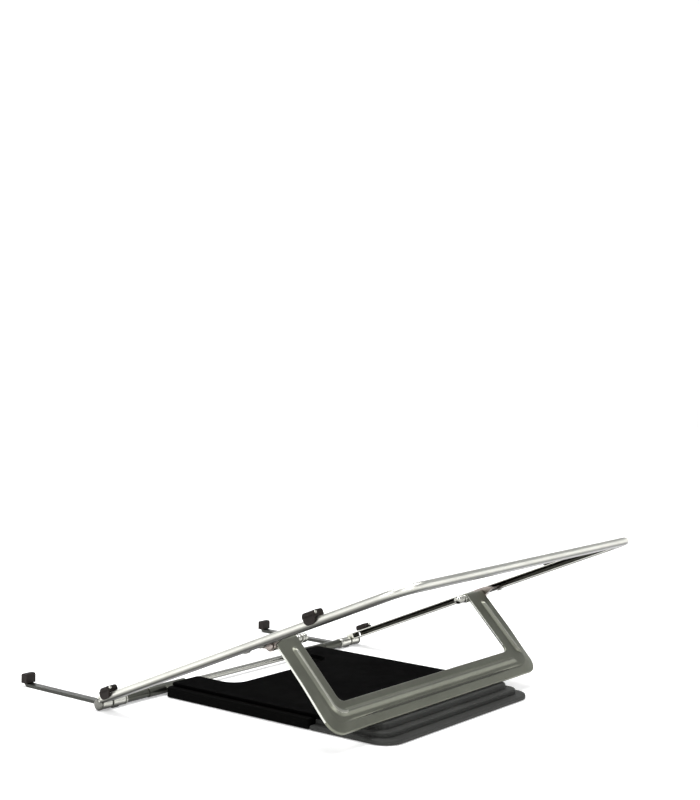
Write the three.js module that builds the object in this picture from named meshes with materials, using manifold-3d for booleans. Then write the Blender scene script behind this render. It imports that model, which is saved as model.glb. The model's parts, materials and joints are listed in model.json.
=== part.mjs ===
// Folding open-frame laptop cooling stand.
//
// Millimetres, +Z up. The origin is on the table under the middle of the object's box. +Y points to
// the rear, the raised side, and +X to the user's right. The stand is shown open at its steepest setting.
//
// A weighted base plate carries a hinge bar along its front edge. A U-shaped channel frame, the tray,
// swings on the bar. A pressed U-shaped leg, the bail, hangs from friction pivots half way up the frame
// and stands on one of the steps at the rear of the base. Two hooks on the bar's ends stop the laptop.

import * as THREE from 'three';
import { mergeVertices } from 'three/addons/utils/BufferGeometryUtils.js';
import Module from 'manifold-3d';

const wasm = await Module();
wasm.setup();

// ---- driving dimensions ----

const GAP = 0.3; // between pieces that touch on the real object

// base
const BASE_HALF_WIDTH = 72;
const BASE_FRONT = 6; // distances along Y in this block are counted from the hinge axis
const BASE_SPLIT = 113; // joint between the front plate and the stepped rear block
const BASE_UNDERSIDE = 0.4;
const BASE_TOP = 6.1; // of the plate under the deck
const DECK_HALF_WIDTH = 67.8;
const DECK_REAR = 141.7;
const DECK_TOP = 8;
// From the lowest step to the highest.
const STEPS = [
  { halfWidth: BASE_HALF_WIDTH, front: BASE_SPLIT + GAP, rear: 166.9, radius: 12, top: 2.8 },
  { halfWidth: 67.2, front: BASE_SPLIT + GAP + 0.2, rear: 160.8, radius: 7.5, top: 5.6 },
  { halfWidth: 61.8, front: DECK_REAR + GAP, rear: 155.9, radius: 4.5, top: 8.9 },
];
const NOTCH_HALF_WIDTH = 45;
const NOTCH_REAR = 36;
const NOTCH_RADIUS = 10;
const FOOT_RADIUS = 7;
const FOOT_HEIGHT = 1.4;

// hinge along the front
const HINGE_Z = 3.5;
const BAR_RADIUS = 1.9;
const KNUCKLE_RADIUS = 3.1;
const CAP_RADIUS = 3.3;
const KNUCKLE_BORE = BAR_RADIUS + GAP;

// tray
const TRAY_TILT = THREE.MathUtils.degToRad(23);
const TRAY_HALF_WIDTH = 120;
const TRAY_LENGTH = 227.6;
const TRAY_CORNER_RADIUS = 18;
const RAIL_WIDTH = 9.5;
const RAIL_HEIGHT = 4.4;
const RAIL_Z = 2.2; // middle of the rail above the hinge axis
const RAIL_BOTTOM = RAIL_Z - RAIL_HEIGHT / 2;
const RAIL_TOP = RAIL_Z + RAIL_HEIGHT / 2;
const RAIL_WALL = 0.8; // above and below the channel
const RAIL_WEB = 1.4; // outside the channel
const RAIL_EDGE_RADIUS = 2;
const PAD_LENGTH = 8;
const PAD_REACH = 6.6; // inwards from the rail's outer edge
const PAD_HEIGHT = 3.4;
const PAD_STATIONS = { front: 9.8, rear: 166.6 };

// bail
const PIVOT_STATION = 120.4; // along the tray
const PIVOT_Z = RAIL_Z - 2.4;
const BAIL_ANGLE = THREE.MathUtils.degToRad(45.2); // below horizontal
const BAIL_HALF_WIDTH = 100.4;
const BAIL_LENGTH = 58.8;
const ARM_WIDTH = 18.2;
const FOOT_BAR_WIDTH = 16.8;
const BAIL_SHEET = 1.6;
const BARREL_RADIUS = 2.8;
const PIN_RADIUS = 1.5;
const RIB_WIDTH = 4.2;
const RIB_HEIGHT = 0.9;

// front hooks
const HOOK_LENGTH = 74;
const HOOK_EYE_WIDTH = 9;
const HOOK_WIDTH = 5; // of the arm and tip
const HOOK_SHEET = 1.8;
const HOOK_DROP = 1.6; // top of the hook's arm below the hinge axis
const HOOK_TIP = 3.3; // top of the upturned tip above the hinge axis
const SLEEVE_WALL = 1.1;

// The hinge axis stands off the middle, so that the origin is under the middle of the whole.
const REACH_FRONT = HOOK_LENGTH + GAP + SLEEVE_WALL;
const REACH_REAR =
  (TRAY_LENGTH - RAIL_EDGE_RADIUS) * Math.cos(TRAY_TILT) +
  (RAIL_HEIGHT / 2 - RAIL_EDGE_RADIUS - RAIL_Z) * Math.sin(TRAY_TILT) +
  RAIL_EDGE_RADIUS;
const HINGE_Y = (REACH_FRONT - REACH_REAR) / 2;

// ---- materials ----

const material = (color, roughness, metalness) =>
  new THREE.MeshStandardMaterial({ color, roughness, metalness });

const satinAluminium = () => material(0xc4c4bd, 0.36, 1);
const pressedAluminium = () => material(0xa3a49c, 0.42, 1);
const steel = () => material(0xb4b4b0, 0.28, 1);
const deckPlastic = () => material(0x151515, 0.55, 0);
const sidePlastic = () => material(0x2c2c2b, 0.6, 0);
const stepPlastic = () => material(0x3d3e3b, 0.62, 0);
const rubber = () => material(0x1d1a18, 0.85, 0);

// ---- solids ----

function toSolid(geometry) {
  const bare = geometry.clone();
  bare.deleteAttribute('normal');
  bare.deleteAttribute('uv');
  const merged = mergeVertices(bare, 1e-4);
  const mesh = new wasm.Mesh({
    numProp: 3,
    vertProperties: new Float32Array(merged.attributes.position.array),
    triVerts: new Uint32Array(merged.index.array),
  });
  return new wasm.Manifold(mesh);
}

function toGeometry(solid) {
  const { vertProperties, triVerts } = solid.getMesh();
  const geometry = new THREE.BufferGeometry();
  geometry.setAttribute('position', new THREE.BufferAttribute(vertProperties, 3));
  geometry.setIndex(new THREE.BufferAttribute(triVerts, 1));
  geometry.computeVertexNormals();
  return geometry;
}

// A flat outline in X and Y between two heights, with an optional rounded rim inside the outline.
function slab(outline, bottom, top, rim = 0, rimSegments = 1, curveSegments = 3) {
  const geometry = new THREE.ExtrudeGeometry(outline, {
    depth: top - bottom - 2 * rim,
    bevelEnabled: rim > 0,
    bevelThickness: rim,
    bevelSize: rim,
    bevelOffset: -rim,
    bevelSegments: rimSegments,
    curveSegments,
  });
  return toSolid(geometry.translate(0, 0, bottom + rim));
}

// A flat outline in Y and Z between two stations along X.
function sweepX(outline, left, right, segments = 5) {
  const geometry = new THREE.ExtrudeGeometry(outline, {
    depth: right - left,
    bevelEnabled: false,
    curveSegments: segments,
  });
  const basis = new THREE.Matrix4().makeBasis(
    new THREE.Vector3(0, 1, 0),
    new THREE.Vector3(0, 0, 1),
    new THREE.Vector3(1, 0, 0),
  );
  return toSolid(geometry.applyMatrix4(basis).translate(left, 0, 0));
}

function discX(radius, left, right, y = 0, z = 0, segments = 10) {
  const circle = new THREE.Shape().absarc(y, z, radius, 0, 2 * Math.PI);
  return sweepX(circle, left, right, segments);
}

function discZ(radius, bottom, top, x = 0, y = 0, segments = 12) {
  const geometry = new THREE.CylinderGeometry(radius, radius, top - bottom, segments);
  return toSolid(geometry.rotateX(Math.PI / 2).translate(x, y, (bottom + top) / 2));
}

function box(low, high) {
  const size = high.map((value, axis) => value - low[axis]);
  const middle = high.map((value, axis) => (value + low[axis]) / 2);
  return toSolid(new THREE.BoxGeometry(...size).translate(...middle));
}

function mirrorX(solid) {
  return solid.mirror([1, 0, 0]);
}

// A rectangle with its own radius at the front (low Y) and the rear (high Y) corners.
function plate(halfWidth, front, rear, frontRadius, rearRadius) {
  const outline = new THREE.Shape();
  outline.moveTo(-halfWidth + frontRadius, front);
  outline.lineTo(halfWidth - frontRadius, front);
  outline.absarc(halfWidth - frontRadius, front + frontRadius, frontRadius, -Math.PI / 2, 0);
  outline.lineTo(halfWidth, rear - rearRadius);
  outline.absarc(halfWidth - rearRadius, rear - rearRadius, rearRadius, 0, Math.PI / 2);
  outline.lineTo(-halfWidth + rearRadius, rear);
  outline.absarc(-halfWidth + rearRadius, rear - rearRadius, rearRadius, Math.PI / 2, Math.PI);
  outline.lineTo(-halfWidth, front + frontRadius);
  outline.absarc(-halfWidth + frontRadius, front + frontRadius, frontRadius, Math.PI, 1.5 * Math.PI);
  return outline;
}

// ---- assembly ----

const stand = new THREE.Group();
const base = new THREE.Group();
const tray = new THREE.Group();
const bail = new THREE.Group();
const hooks = new THREE.Group();
base.position.set(0, HINGE_Y, 0);
tray.position.set(0, HINGE_Y, HINGE_Z);
tray.rotation.x = TRAY_TILT;
bail.position.set(0, PIVOT_STATION, PIVOT_Z);
bail.rotation.x = -BAIL_ANGLE - TRAY_TILT;
hooks.position.set(0, HINGE_Y, HINGE_Z);
tray.add(bail);
stand.add(base, tray, hooks);

function add(parent, name, solid, look) {
  const mesh = new THREE.Mesh(toGeometry(solid), look);
  mesh.name = name;
  parent.add(mesh);
}

// The same piece on the right (+X) and mirrored on the left.
function addPair(parent, name, solid, look) {
  add(parent, `${name}_right`, solid, look());
  add(parent, `${name}_left`, mirrorX(solid), look());
}

// ---- base ----

function notch() {
  const outline = plate(NOTCH_HALF_WIDTH, BASE_FRONT - 5, NOTCH_REAR, 0.5, NOTCH_RADIUS);
  return slab(outline, 0, DECK_TOP + 5, 0, 1, 4);
}

const LEAF = { left: 50, right: 68, rear: 26, bottom: HINGE_Z - 0.6, top: HINGE_Z + 0.6 };
const KNUCKLE_END = 81; // outer end of the leaf's knuckle, clear of the base's side
const LEAF_SCREWS = [
  { name: 'inner', x: 54.5, y: 17 },
  { name: 'outer', x: 63.5, y: 17 },
];
const SCREW_RADIUS = 1.4;
const SCREW_HEAD_RADIUS = 2.6;
const SCREW_LENGTH = 1.6; // of the shank below the leaf
const FOOT_PLACES = [
  { name: 'front', x: 58, y: 40 },
  { name: 'rear', x: 54, y: 148 },
];

function footPockets() {
  return FOOT_PLACES.flatMap(({ x, y }) =>
    [x, -x].map((side) => discZ(FOOT_RADIUS + GAP, 0, FOOT_HEIGHT + GAP, side, y)),
  );
}

function basePlate() {
  const outline = plate(BASE_HALF_WIDTH, BASE_FRONT, BASE_SPLIT, 3, 1);
  let solid = slab(outline, BASE_UNDERSIDE, BASE_TOP, 0.5);
  solid = solid.subtract(notch());
  const pocketLow = [LEAF.left - GAP, BASE_FRONT - 1, LEAF.bottom - GAP];
  const pocket = box(pocketLow, [LEAF.right + GAP, LEAF.rear + GAP, BASE_TOP + 1]);
  const bores = LEAF_SCREWS.map(({ x, y }) =>
    discZ(SCREW_RADIUS + GAP, LEAF.bottom - SCREW_LENGTH - GAP, BASE_TOP, x, y),
  );
  for (const cut of [pocket, ...bores]) {
    solid = solid.subtract(cut).subtract(mirrorX(cut));
  }
  return footPockets().reduce((body, cut) => body.subtract(cut), solid);
}

function rearBlock() {
  const layers = STEPS.map(({ halfWidth, front, rear, radius, top }, index) => {
    const outline = plate(halfWidth, front, rear, 1, radius);
    return slab(outline, BASE_UNDERSIDE + index, top, 0.6, 1, 4);
  });
  const solid = layers.reduce((body, layer) => body.add(layer));
  return footPockets().reduce((body, cut) => body.subtract(cut), solid);
}

function topDeck() {
  const outline = plate(DECK_HALF_WIDTH, BASE_FRONT, DECK_REAR, 3, 1.5);
  return slab(outline, BASE_TOP + GAP, DECK_TOP, 0.7, 2, 4).subtract(notch());
}

function hingeLeaf() {
  const flat = box([LEAF.left, 0, LEAF.bottom], [LEAF.right, LEAF.rear, LEAF.top]);
  const knuckle = discX(KNUCKLE_RADIUS - 0.1, LEAF.left, KNUCKLE_END, 0, HINGE_Z);
  const bores = LEAF_SCREWS.map(({ x, y }) => discZ(SCREW_RADIUS + GAP, 0, 10, x, y));
  return bores.reduce(
    (body, cut) => body.subtract(cut),
    flat.add(knuckle).subtract(discX(KNUCKLE_BORE, 40, 90, 0, HINGE_Z)),
  );
}

function leafScrew({ x, y }) {
  const head = discZ(SCREW_HEAD_RADIUS, LEAF.top + 0.05, LEAF.top + 0.5, x, y);
  const shank = discZ(SCREW_RADIUS, LEAF.bottom - SCREW_LENGTH, LEAF.top + 0.2, x, y);
  return head.add(shank);
}

add(base, 'base_plate', basePlate(), sidePlastic());
add(base, 'rear_step_block', rearBlock(), stepPlastic());
add(base, 'top_deck', topDeck(), deckPlastic());
addPair(base, 'hinge_leaf', hingeLeaf(), steel);
for (const screw of LEAF_SCREWS) {
  addPair(base, `leaf_screw_${screw.name}`, leafScrew(screw), steel);
}
for (const { name, x, y } of FOOT_PLACES) {
  addPair(base, `base_foot_${name}`, discZ(FOOT_RADIUS, 0, FOOT_HEIGHT, x, y, 24), rubber);
}

// ---- hinge bar ----

const CAP_OUTER = TRAY_HALF_WIDTH - 0.1;
const CAP_INNER = CAP_OUTER - 2.2;

function barSleeve(radius, left, right) {
  return discX(radius, left, right, 0, HINGE_Z).subtract(discX(KNUCKLE_BORE, left - 1, right + 1, 0, HINGE_Z));
}

function barCap() {
  const wall = discX(CAP_RADIUS, CAP_INNER, CAP_OUTER - 0.7, 0, HINGE_Z);
  const face = discX(CAP_RADIUS - 0.6, CAP_OUTER - 0.8, CAP_OUTER, 0, HINGE_Z);
  return wall.add(face).subtract(discX(KNUCKLE_BORE, CAP_INNER - 1, CAP_OUTER - 1, 0, HINGE_Z));
}

const barEnd = CAP_OUTER - 1 - GAP;
add(base, 'hinge_bar', discX(BAR_RADIUS, -barEnd, barEnd, 0, HINGE_Z), steel());
addPair(base, 'bar_cap', barCap(), steel);
addPair(base, 'bar_sleeve', barSleeve(2.8, KNUCKLE_END + 0.4, 98.4), satinAluminium);
addPair(base, 'bar_washer', barSleeve(3.3, 98.7, 99.9), steel);

// ---- tray ----

const RAIL_INNER = TRAY_HALF_WIDTH - RAIL_WIDTH;
const CHANNEL_FRONT = 9;

function trayFrame() {
  const outer = plate(TRAY_HALF_WIDTH, -1, TRAY_LENGTH, 0.5 + RAIL_EDGE_RADIUS, TRAY_CORNER_RADIUS);
  const innerRadius = TRAY_CORNER_RADIUS - RAIL_WIDTH;
  const opening = plate(RAIL_INNER, -10, TRAY_LENGTH - RAIL_WIDTH, 0.5, innerRadius);
  const channelHalfWidth = TRAY_HALF_WIDTH - RAIL_WEB;
  const channelRear = TRAY_LENGTH - RAIL_WEB;
  const channel = plate(channelHalfWidth, CHANNEL_FRONT, channelRear, 0.5, TRAY_CORNER_RADIUS - RAIL_WEB);
  const knuckle = discX(KNUCKLE_RADIUS, RAIL_INNER, CAP_INNER);
  const capRecess = discX(CAP_RADIUS + 0.35, CAP_INNER - GAP, TRAY_HALF_WIDTH + 1, 0, 0, 14);
  const rivetBores = BRACKET_RIVETS.map((station) => discZ(RIVET_RADIUS + GAP, -5, 2, RIVET_X, station, 8));
  let solid = slab(outer, RAIL_BOTTOM, RAIL_TOP, RAIL_EDGE_RADIUS, 4, 6);
  solid = solid.subtract(slab(opening, -10, 10, 0, 1, 6));
  solid = solid.subtract(slab(channel, RAIL_BOTTOM + RAIL_WALL, RAIL_TOP - RAIL_WALL, 0, 1, 6));
  solid = solid.add(knuckle).add(mirrorX(knuckle));
  solid = solid.subtract(discX(KNUCKLE_BORE, -130, 130));
  solid = solid.subtract(capRecess).subtract(mirrorX(capRecess));
  return rivetBores.reduce((body, cut) => body.subtract(cut).subtract(mirrorX(cut)), solid);
}

// A soft block on top of the rail, with a skirt down the rail's outer side.
function gripPad(station) {
  const low = RAIL_TOP + GAP;
  const outline = plate(PAD_LENGTH / 2, TRAY_HALF_WIDTH - PAD_REACH, TRAY_HALF_WIDTH + 1.3, 2, 2);
  const block = slab(outline, low, low + PAD_HEIGHT, 1.1);
  const skirtLow = [-PAD_LENGTH / 2 + 1.5, TRAY_HALF_WIDTH + GAP, RAIL_BOTTOM + 1.2];
  const skirt = box(skirtLow, [PAD_LENGTH / 2 - 1.5, TRAY_HALF_WIDTH + 1.3, low + 1.5]);
  return block.add(skirt).rotate([0, 0, -90]).translate([0, station, 0]);
}

const EAR_LEFT = BAIL_HALF_WIDTH + 0.5;
const EAR_RIGHT = EAR_LEFT + 1.6;
const PIN_HEAD_RADIUS = 2.5;
const PIN_HEAD_END = EAR_RIGHT + 1.6;
const BRACKET_HALF_LENGTH = 9;
const RIVET_RADIUS = 1.2;
const RIVET_HEAD_RADIUS = 2.2;
const RIVET_X = 114.5;
const BRACKET_RIVETS = [PIVOT_STATION - 5.5, PIVOT_STATION + 5.5];
const FLANGE_LOW = RAIL_BOTTOM + RAIL_WALL + GAP;
const FLANGE_HIGH = FLANGE_LOW + 1;

// An angle whose flange lies in the rail's channel and whose ear carries the pivot pin.
function pivotBracket() {
  const near = PIVOT_STATION - BRACKET_HALF_LENGTH;
  const far = PIVOT_STATION + BRACKET_HALF_LENGTH;
  const flange = box([EAR_LEFT, near, FLANGE_LOW], [TRAY_HALF_WIDTH - RAIL_WEB - 0.6, far, FLANGE_HIGH]);
  const ear = new THREE.Shape();
  ear.moveTo(near, FLANGE_HIGH);
  ear.lineTo(near, FLANGE_LOW);
  ear.lineTo(PIVOT_STATION - 3.1, PIVOT_Z - 0.8);
  ear.absarc(PIVOT_STATION, PIVOT_Z, 3.1, Math.PI + 0.26, 2 * Math.PI - 0.26);
  ear.lineTo(far, FLANGE_LOW);
  ear.lineTo(far, FLANGE_HIGH);
  ear.lineTo(PIVOT_STATION + 3, RAIL_Z + 1.6);
  ear.lineTo(PIVOT_STATION - 3, RAIL_Z + 1.6);
  const bores = BRACKET_RIVETS.map((station) => discZ(RIVET_RADIUS + GAP, -5, 5, RIVET_X, station, 8));
  const pinBore = discX(PIN_RADIUS + GAP, EAR_LEFT - 1, EAR_RIGHT + 1, PIVOT_STATION, PIVOT_Z);
  const headRelief = discX(PIN_HEAD_RADIUS + GAP, EAR_RIGHT, PIN_HEAD_END + GAP, PIVOT_STATION, PIVOT_Z);
  const solid = flange.add(sweepX(ear, EAR_LEFT, EAR_RIGHT));
  return [...bores, pinBore, headRelief].reduce((body, cut) => body.subtract(cut), solid);
}

function bracketRivet(station) {
  const under = RAIL_BOTTOM - GAP;
  const over = FLANGE_HIGH + GAP;
  const shank = discZ(RIVET_RADIUS, under - 0.2, over + 0.2, RIVET_X, station, 8);
  const lowHead = discZ(RIVET_HEAD_RADIUS, under - 0.6, under, RIVET_X, station, 8);
  const highHead = discZ(RIVET_HEAD_RADIUS, over, over + 0.7, RIVET_X, station, 8);
  return shank.add(lowHead).add(highHead);
}

const ARM_INNER = BAIL_HALF_WIDTH - ARM_WIDTH;
const WASHER_THICKNESS = 1.8;
const WASHER_COUNT = 3;
const WASHER_RADII = [2.5, 2.1, 2.5];
const STACK_END = ARM_INNER - WASHER_COUNT * (WASHER_THICKNESS + GAP);
const NUT_LENGTH = 3.2;
const NUT_RADIUS = 2.5;
const NUT_BORE = 1.8; // depth

function pivotPin() {
  const shank = discX(PIN_RADIUS, STACK_END - NUT_BORE + GAP, EAR_RIGHT + 0.6, PIVOT_STATION, PIVOT_Z);
  return shank.add(discX(PIN_HEAD_RADIUS, EAR_RIGHT + GAP, PIN_HEAD_END, PIVOT_STATION, PIVOT_Z));
}

function frictionWasher(index) {
  const right = ARM_INNER - GAP - index * (WASHER_THICKNESS + GAP);
  const ring = discX(WASHER_RADII[index], right - WASHER_THICKNESS, right, PIVOT_STATION, PIVOT_Z);
  return ring.subtract(discX(PIN_RADIUS + GAP, right - 5, right + 1, PIVOT_STATION, PIVOT_Z));
}

// A round nut with a domed blind end, its profile turned about the pin's axis.
function domeNut() {
  const bore = PIN_RADIUS + GAP;
  const dome = new THREE.EllipseCurve(0, 1.4, NUT_RADIUS, NUT_LENGTH - 1.4, 0, Math.PI / 2).getPoints(4);
  dome[dome.length - 1].x = 0;
  const corners = [[0, NUT_BORE], [bore, NUT_BORE], [bore, 0], [NUT_RADIUS, 0]];
  const profile = corners.map(([x, y]) => new THREE.Vector2(x, y)).concat(dome);
  const turned = new THREE.LatheGeometry(profile, 20);
  turned.rotateZ(Math.PI / 2).translate(STACK_END, PIVOT_STATION, PIVOT_Z);
  return toSolid(turned);
}

add(tray, 'tray_frame', trayFrame(), satinAluminium());
for (const [name, station] of Object.entries(PAD_STATIONS)) {
  addPair(tray, `grip_pad_${name}`, gripPad(station), rubber);
}
addPair(tray, 'pivot_bracket', pivotBracket(), steel);
addPair(tray, 'bracket_rivet_front', bracketRivet(BRACKET_RIVETS[0]), steel);
addPair(tray, 'bracket_rivet_rear', bracketRivet(BRACKET_RIVETS[1]), steel);
addPair(tray, 'pivot_pin', pivotPin(), steel);
for (let index = 0; index < WASHER_COUNT; index += 1) {
  addPair(tray, `friction_washer_${index + 1}`, frictionWasher(index), steel);
}
addPair(tray, 'dome_nut', domeNut(), steel);

// ---- bail ----

// In its own frame +Y runs down the arms from the pivot and +Z faces up and to the rear.
function bailSheet() {
  const top = BARREL_RADIUS;
  const bottom = top - BAIL_SHEET;
  const sheet = slab(plate(BAIL_HALF_WIDTH, 0, BAIL_LENGTH, 1, 9), bottom, top, 0.4);
  const footBarInner = BAIL_LENGTH - FOOT_BAR_WIDTH;
  const opening = slab(plate(ARM_INNER, -10, footBarInner, 0.5, 4), -10, 10);
  const barrel = discX(BARREL_RADIUS, ARM_INNER, BAIL_HALF_WIDTH);
  const armRib = rib(BAIL_HALF_WIDTH - 10.2, 6, BAIL_HALF_WIDTH - 10.2, BAIL_LENGTH - 9.5);
  const footRib = rib(-ARM_INNER - 0.5, footBarInner + 7, ARM_INNER + 0.5, footBarInner + 7);
  let solid = sheet.subtract(opening).add(barrel).add(mirrorX(barrel));
  solid = solid.add(armRib).add(mirrorX(armRib)).add(footRib);
  return solid.subtract(discX(PIN_RADIUS + GAP, -110, 110));
}

// A raised bead with round ends between two points of the sheet.
function rib(x0, y0, x1, y1) {
  const length = Math.hypot(x1 - x0, y1 - y0);
  const outline = new THREE.Shape();
  outline.absarc(0, 0, RIB_WIDTH / 2, Math.PI, 2 * Math.PI);
  outline.absarc(0, length, RIB_WIDTH / 2, 0, Math.PI);
  const turn = THREE.MathUtils.radToDeg(Math.atan2(y1 - y0, x1 - x0)) - 90;
  const bead = slab(outline, BARREL_RADIUS - RIB_HEIGHT, BARREL_RADIUS + RIB_HEIGHT, RIB_HEIGHT - 0.1);
  return bead.rotate([0, 0, turn]).translate([x0, y0, 0]);
}

add(bail, 'bail', bailSheet(), pressedAluminium());

// ---- front hooks ----

const HOOK_RIGHT = RAIL_INNER - GAP - 1;
const HOOK_LEFT = HOOK_RIGHT - HOOK_WIDTH;

// Side view: an eye round the bar, a flat arm pointing forward and an upturned tip.
function frontHook() {
  const top = -HOOK_DROP;
  const bottom = top - HOOK_SHEET;
  const side = new THREE.Shape();
  side.moveTo(0, bottom);
  side.lineTo(-HOOK_LENGTH + 1, bottom);
  side.quadraticCurveTo(-HOOK_LENGTH, bottom, -HOOK_LENGTH, bottom + 1);
  side.lineTo(-HOOK_LENGTH, HOOK_TIP);
  side.lineTo(-HOOK_LENGTH + HOOK_SHEET, HOOK_TIP);
  side.lineTo(-HOOK_LENGTH + HOOK_SHEET, top + 0.6);
  side.quadraticCurveTo(-HOOK_LENGTH + HOOK_SHEET, top, -HOOK_LENGTH + HOOK_SHEET + 0.6, top);
  side.lineTo(0, top);
  const arm = sweepX(side, HOOK_LEFT, HOOK_RIGHT, 4);
  const eyeLeft = HOOK_RIGHT - HOOK_EYE_WIDTH;
  const eye = discX(KNUCKLE_RADIUS, eyeLeft, HOOK_RIGHT);
  return arm.add(eye).subtract(discX(KNUCKLE_BORE, eyeLeft - 1, HOOK_RIGHT + 1));
}

function hookSleeve() {
  const bottom = -HOOK_DROP + GAP;
  const rear = -HOOK_LENGTH + HOOK_SHEET + GAP + SLEEVE_WALL;
  const front = -HOOK_LENGTH - GAP - SLEEVE_WALL;
  const outline = new THREE.Shape();
  outline.moveTo(rear, bottom);
  outline.lineTo(rear, HOOK_TIP + SLEEVE_WALL - 0.6);
  outline.quadraticCurveTo(rear, HOOK_TIP + SLEEVE_WALL, rear - 1, HOOK_TIP + SLEEVE_WALL);
  outline.lineTo(front + 1, HOOK_TIP + SLEEVE_WALL);
  outline.quadraticCurveTo(front, HOOK_TIP + SLEEVE_WALL, front, HOOK_TIP + SLEEVE_WALL - 1);
  outline.lineTo(front, bottom);
  const pocketLow = [HOOK_LEFT - GAP, -HOOK_LENGTH - GAP, bottom - 1];
  const pocketHigh = [HOOK_RIGHT + GAP, -HOOK_LENGTH + HOOK_SHEET + GAP, HOOK_TIP + GAP];
  return sweepX(outline, HOOK_LEFT - 1, HOOK_RIGHT + 1, 4).subtract(box(pocketLow, pocketHigh));
}

addPair(hooks, 'front_hook', frontHook(), satinAluminium);
addPair(hooks, 'hook_sleeve', hookSleeve(), rubber);

export default stand;
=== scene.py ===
"""Looks of the folding laptop cooling stand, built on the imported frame. Metres, +Z up."""

import json
import math

import bmesh
import bpy
from mathutils import Matrix, Vector


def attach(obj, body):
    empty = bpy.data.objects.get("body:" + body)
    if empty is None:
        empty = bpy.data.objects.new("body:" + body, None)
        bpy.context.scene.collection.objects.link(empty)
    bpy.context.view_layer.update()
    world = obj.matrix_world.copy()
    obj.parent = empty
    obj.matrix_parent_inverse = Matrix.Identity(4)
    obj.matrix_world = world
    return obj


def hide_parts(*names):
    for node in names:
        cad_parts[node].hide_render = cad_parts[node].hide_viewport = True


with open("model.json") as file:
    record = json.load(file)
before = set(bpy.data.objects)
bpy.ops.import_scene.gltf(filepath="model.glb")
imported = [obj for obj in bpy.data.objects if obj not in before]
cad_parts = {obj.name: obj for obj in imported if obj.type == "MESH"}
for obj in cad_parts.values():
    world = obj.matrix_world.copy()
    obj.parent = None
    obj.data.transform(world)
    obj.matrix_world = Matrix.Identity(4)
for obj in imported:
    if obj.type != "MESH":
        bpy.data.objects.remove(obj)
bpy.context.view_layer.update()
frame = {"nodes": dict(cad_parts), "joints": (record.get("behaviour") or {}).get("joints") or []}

MM = 0.001
joints = {joint["name"]: joint for joint in frame["joints"]}
HINGE = Vector(joints["tray_tilt"]["pos_m"])
PIVOT = Vector(joints["bail_fold"]["pos_m"])
TILT = -math.radians(joints["tray_tilt"]["range_deg"][0])
LEAN = TILT - math.radians(joints["bail_fold"]["range_deg"][1])

# Pieces are drawn in millimetres in their body's own frame, and these matrices say where it sits.
# X runs along the hinges in all of them. The tray's and the hooks' frames start on the hinge axis,
# the leg's on the pivots, and the base's on the table under the hinge axis.
BASE_AT = Matrix.Translation((0, HINGE.y, 0)) @ Matrix.Scale(MM, 4)
HOOK_AT = Matrix.Translation(HINGE) @ Matrix.Scale(MM, 4)
TRAY_AT = Matrix.Translation(HINGE) @ Matrix.Rotation(TILT, 4, "X") @ Matrix.Scale(MM, 4)
BAIL_AT = Matrix.Translation(PIVOT) @ Matrix.Rotation(LEAN, 4, "X") @ Matrix.Scale(MM, 4)
MIRROR = Matrix.Scale(-1, 4, (1, 0, 0))
PIN_AT = (TRAY_AT.inverted() @ PIVOT).yz  # the pivots' axis in the tray's frame

GAP = 0.3  # between pieces that touch on the real object


# ---- materials ----


def new_material(name, color, metallic, roughness):
    material = bpy.data.materials.new(name)
    material.use_nodes = True
    shader = material.node_tree.nodes["Principled BSDF"]
    shader.inputs["Base Color"].default_value = (*color, 1)
    shader.inputs["Metallic"].default_value = metallic
    shader.inputs["Roughness"].default_value = roughness
    return material, shader


def noise(material, scale, detail, stretch=(1, 1, 1), roughness=0.55):
    """A noise texture, 0 to 1, whose scale is in cells per metre of the object."""
    nodes, links = material.node_tree.nodes, material.node_tree.links
    coordinates = nodes.new("ShaderNodeTexCoord")
    mapping = nodes.new("ShaderNodeMapping")
    mapping.inputs["Scale"].default_value = stretch
    texture = nodes.new("ShaderNodeTexNoise")
    texture.inputs["Scale"].default_value = scale
    texture.inputs["Detail"].default_value = detail
    texture.inputs["Roughness"].default_value = roughness
    links.new(coordinates.outputs["Object"], mapping.inputs["Vector"])
    links.new(mapping.outputs["Vector"], texture.inputs["Vector"])
    return texture.outputs["Fac"]


def span(material, value, low, high, start=0.3, end=0.7):
    """Turns a texture value between start and end into a number between low and high."""
    node = material.node_tree.nodes.new("ShaderNodeMapRange")
    node.inputs["From Min"].default_value = start
    node.inputs["From Max"].default_value = end
    node.inputs["To Min"].default_value = low
    node.inputs["To Max"].default_value = high
    material.node_tree.links.new(value, node.inputs["Value"])
    return node.outputs["Result"]


def tint(material, value, dark, light, start=0.3, end=0.7):
    """Turns a texture value between start and end into a colour between dark and light."""
    node = material.node_tree.nodes.new("ShaderNodeValToRGB")
    for element, position, color in zip(node.color_ramp.elements, (start, end), (dark, light)):
        element.position = position
        element.color = (*color, 1)
    material.node_tree.links.new(value, node.inputs["Fac"])
    return node.outputs["Color"]


def bump(material, shader, layers):
    """Adds fine relief. Each layer is a texture value, a strength and a height in metres."""
    nodes, links = material.node_tree.nodes, material.node_tree.links
    below = None
    for value, strength, height in layers:
        node = nodes.new("ShaderNodeBump")
        node.inputs["Strength"].default_value = strength
        node.inputs["Distance"].default_value = height
        links.new(value, node.inputs["Height"])
        if below is not None:
            links.new(below, node.inputs["Normal"])
        below = node.outputs["Normal"]
    links.new(below, shader.inputs["Normal"])


def shaded(tone, amount):
    return tuple(min(1.0, channel * amount) for channel in tone)


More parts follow.
